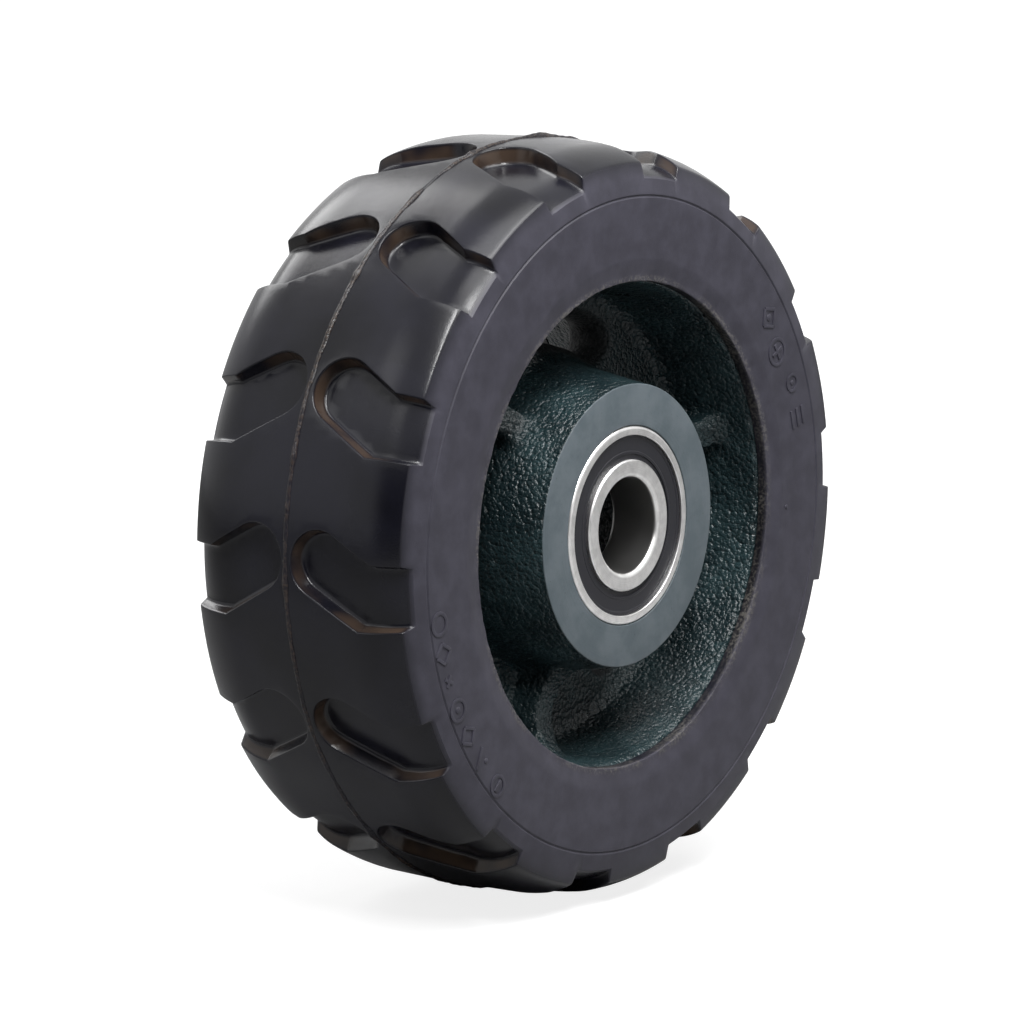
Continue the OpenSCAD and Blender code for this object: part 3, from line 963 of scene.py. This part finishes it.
arcs = iron.grain(0.5 * MM, 3, 0.5, round_face)
brushed = iron.bump(arcs + fleck * 0.8, 0.05 * MM, 0.5)
normals = {0: turned_face, 4: skin, 5: brushed}
iron.feed({"Normal": iron.node("ShaderNodeMix", {"data_type": "VECTOR"}, normals, 1)})

# %% [markdown]
# ## Steel and seals
# Bearing steel is ground to a fine satin, with marks that run round the ring, because the ring
# turned under the stone. The bore is given a darker and slightly rougher steel. The balls are
# polished, and the pressed cages have a duller, slightly mottled skin.

# %% Steel and seal finishes
def steel_finish(name, colour, roughness, ring_marks):
    """A bare steel with fine marks that run round the axle."""
    steel = Finish(name, Metallic=1.0)
    radius, axial = steel.radius(), steel.axial()
    marks = steel.grain(0.22 * MM, 3, 0.5, steel.node("ShaderNodeCombineXYZ", None, (radius, axial, 0.0)))
    mottle = steel.grain(3 * MM, 3, 0.6)
    dim = tuple(0.72 * c for c in colour[:3]) + (1,)
    bore = steel.between(radius, BORE_R + 0.3 * MM, BORE_R + 0.05 * MM)
    skin = steel.mix(steel.between(mottle * 0.6 + marks * 0.4, 0.35, 0.7), colour, dim)
    steel.feed({"Base Color": steel.mix(bore, skin, shade(140, 139, 138)),
                "Roughness": roughness + marks * 0.12 + mottle * 0.06 + bore * 0.06})
    steel.feed({"Normal": steel.bump(marks, ring_marks, 0.5)})
    return steel.material


ring_steel = steel_finish("ground_steel", shade(238, 237, 236), 0.22, 0.012 * MM)
ball_steel = steel_finish("ball_steel", shade(214, 214, 216), 0.06, 0.001 * MM)
cage_steel = steel_finish("cage_steel", shade(168, 166, 162), 0.34, 0.01 * MM)

seal_rubber = Finish("seal_rubber", Specular_IOR_Level=0.3)
seal_grain = seal_rubber.grain(0.6 * MM, 3, 0.6)
seal_rubber.feed({"Base Color": seal_rubber.mix(seal_grain, shade(17, 17, 21), shade(28, 28, 34)),
                  "Roughness": 0.42 + seal_grain * 0.14,
                  "Normal": seal_rubber.bump(seal_grain, 0.03 * MM, 0.4)})


# %% Finishes onto pieces
def dress(piece, material):
    """Gives a piece its one material."""
    piece.data.materials.clear()
    piece.data.materials.append(material)


dress(tyre, rubber.material)
dress(hub, iron.material)
for piece in rings:
    dress(piece, ring_steel)
for piece in seals:
    dress(piece, seal_rubber.material)
shown_nodes = [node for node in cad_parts.values() if not node.hide_render]
for node in shown_nodes:
    dress(node, ball_steel if "ball" in node.name else cage_steel)
print(len(shown_nodes), "packed parts dressed where they are")

# %% [markdown]
# ## Floor and light
# The wheel stands on a pale floor with no visible edge. The floor and the world look white to
# the camera through Light Path, which adds no light to the wheel, so the floor can be white
# and still hold a soft shadow. A tall strip lamp above the camera draws the highlight along
# the tread's shoulder, a broad lamp overhead lights the boss, and a near fill from above opens
# the sidewall. Two weaker lamps keep the left and the back readable. A black card on the
# camera's side, which the camera itself doesn't see, keeps the reflections in the rubber deep.

# %% Floor and world
FLOOR_SIZE = 8.0
FLOOR_GLOW = 0.82
WORLD_LEVEL = 0.15


def flat_card(name, width, height, place):
    """A plain rectangle that belongs to the studio."""
    card = bmesh.new()
    bmesh.ops.create_grid(card, x_segments=1, y_segments=1, size=0.5)
    bmesh.ops.scale(card, verts=card.verts, vec=(width, height, 1))
    bmesh.ops.transform(card, verts=card.verts, matrix=place)
    data = bpy.data.meshes.new(name)
    card.to_mesh(data)
    card.free()
    made = bpy.data.objects.new(name, data)
    bpy.context.scene.collection.objects.link(made)
    return made


floor = flat_card("floor", FLOOR_SIZE, FLOOR_SIZE, Matrix.Translation((0, 0, cad_box[0].z)))
pale = Finish("floor", Roughness=0.9, Specular_IOR_Level=0.1, Base_Color=(0.32, 0.32, 0.32, 1),
              Emission_Color=(1, 1, 1, 1))
far = pale.node("ShaderNodeVectorMath", {"operation": "LENGTH"}, (pale.place(),), "Value")
glow = FLOOR_GLOW + pale.between(far, 0.2, 0.9) * (1 - FLOOR_GLOW)
pale.feed({"Emission Strength": pale.node("ShaderNodeLightPath", output="Is Camera Ray") * glow})
dress(floor, pale.material)

world = bpy.data.worlds.new("studio")
bpy.context.scene.world = world
world.use_nodes = True
sky = world.node_tree
paths, level = sky.nodes.new("ShaderNodeLightPath"), sky.nodes.new("ShaderNodeMapRange")
seen = [sky.nodes.new("ShaderNodeMath") for _ in range(2)]
for node in seen:
    node.operation = "MAXIMUM"
level.inputs["To Min"].default_value = WORLD_LEVEL
sky.links.new(paths.outputs["Is Camera Ray"], seen[0].inputs[0])
sky.links.new(paths.outputs["Is Glossy Ray"], seen[0].inputs[1])
sky.links.new(seen[0].outputs[0], seen[1].inputs[0])
sky.links.new(paths.outputs["Is Transmission Ray"], seen[1].inputs[1])
sky.links.new(seen[1].outputs[0], level.inputs["Value"])
sky.links.new(level.outputs["Result"], sky.nodes["Background"].inputs["Strength"])
sky.nodes["Background"].inputs["Color"].default_value = (1, 1, 1, 1)


# %% Lamps and the black card
def facing(azimuth, elevation, distance):
    """The place of a lamp or card that faces the wheel."""
    back, right, up = view_axes(math.radians(azimuth), math.radians(elevation))
    return Matrix.Translation(back * distance) @ Matrix((right, up, back)).transposed().to_4x4()


def soft_lamp(name, azimuth, elevation, distance, width, height, power):
    """A rectangular lamp that faces the wheel."""
    data = bpy.data.lights.new(name, "AREA")
    data.shape = "RECTANGLE"
    data.size, data.size_y, data.energy = width, height, power
    lamp = bpy.data.objects.new(name, data)
    bpy.context.scene.collection.objects.link(lamp)
    lamp.matrix_world = facing(azimuth, elevation, distance)


soft_lamp("strip", -44, 52, 1.6, 0.12, 0.8, 24)
soft_lamp("overhead", -15, 74, 1.3, 0.9, 0.9, 13)
soft_lamp("fill", 8, 58, 0.5, 0.3, 0.3, 2.4)
soft_lamp("left", -115, 40, 1.8, 0.7, 0.7, 3)
soft_lamp("rear", 165, 38, 1.8, 0.9, 0.9, 11)
black_card = flat_card("black_card", 2.6, 1.5, facing(-62, 4, 2.2))
black = Finish("black_card", Roughness=1.0, Specular_IOR_Level=0.0, Base_Color=(0, 0, 0, 1))
dress(black_card, black.material)
black_card.visible_camera = False
bpy.context.scene.view_settings.view_transform = "Standard"
